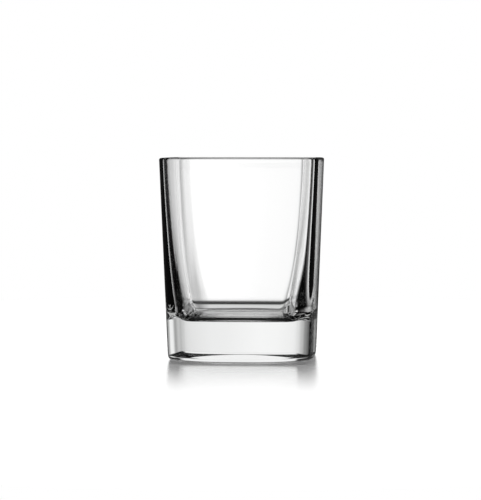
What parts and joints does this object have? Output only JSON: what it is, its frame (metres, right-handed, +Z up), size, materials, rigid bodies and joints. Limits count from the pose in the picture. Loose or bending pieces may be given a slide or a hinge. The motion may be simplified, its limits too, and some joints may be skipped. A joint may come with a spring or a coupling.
{
  "type": "whiskey tumbler",
  "caption": "Square clear-glass whiskey tumbler with bowed sides, rounded corners, a thick solid base and a polished lip.",
  "frame": {"origin": "on the table plane, in the middle of the underside", "axes": "+Z up, out of the open mouth; +X and +Y square to two neighbouring sides"},
  "size_m": [0.0748, 0.0748, 0.092],
  "materials": {
    "clear_glass": "fire-polished clear soda-lime glass"
  },
  "bodies": {
    "root": {"heavy_base": "clear_glass", "side_wall": "clear_glass", "rim": "clear_glass"}
  },
  "joints": []
}
